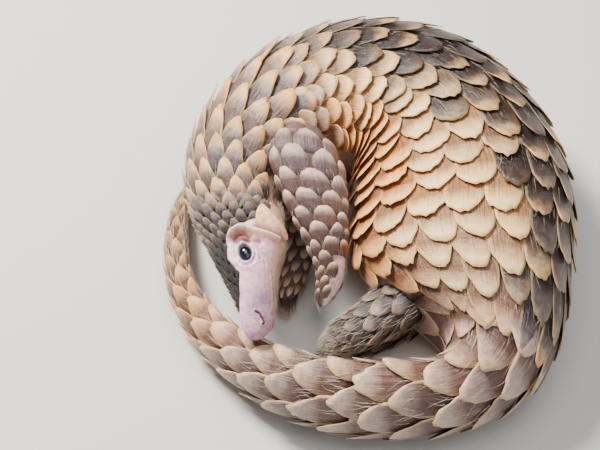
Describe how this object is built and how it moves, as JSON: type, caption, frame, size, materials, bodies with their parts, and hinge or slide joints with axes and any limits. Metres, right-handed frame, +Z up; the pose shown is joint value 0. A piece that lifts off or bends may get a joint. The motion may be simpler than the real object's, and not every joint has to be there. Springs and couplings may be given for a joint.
{
  "type": "pangolin",
  "caption": "Curled-up pangolin lying on its right side, tail wrapped round the front, head, legs and overlapping plate scales modelled, still pose.",
  "frame": {"origin": "middle of the bounding box of the base, on the floor", "axes": "+Z up, the snout points to -Y, the back is turned outward to the left, the far side and the right"},
  "size_m": [0.3312, 0.3576, 0.1345],
  "materials": {
    "scales": "satin, worn horn",
    "limb_scales": "satin, worn horn",
    "skin": "soft matt skin",
    "eye": "wet gloss"
  },
  "bodies": {
    "root": {"head": "skin", "ear_left": "skin", "ear_right": "skin", "eye_left": "eye", "eye_right": "eye", "neck": "scales", "torso_front": "scales", "torso_middle": "scales", "torso_rear": "scales", "tail_base": "scales", "tail_front": "scales", "tail_middle": "scales", "tail_end": "scales", "foreleg_left": "limb_scales", "foreleg_right": "limb_scales", "hindleg_left": "limb_scales", "hindleg_right": "limb_scales"}
  },
  "joints": []
}
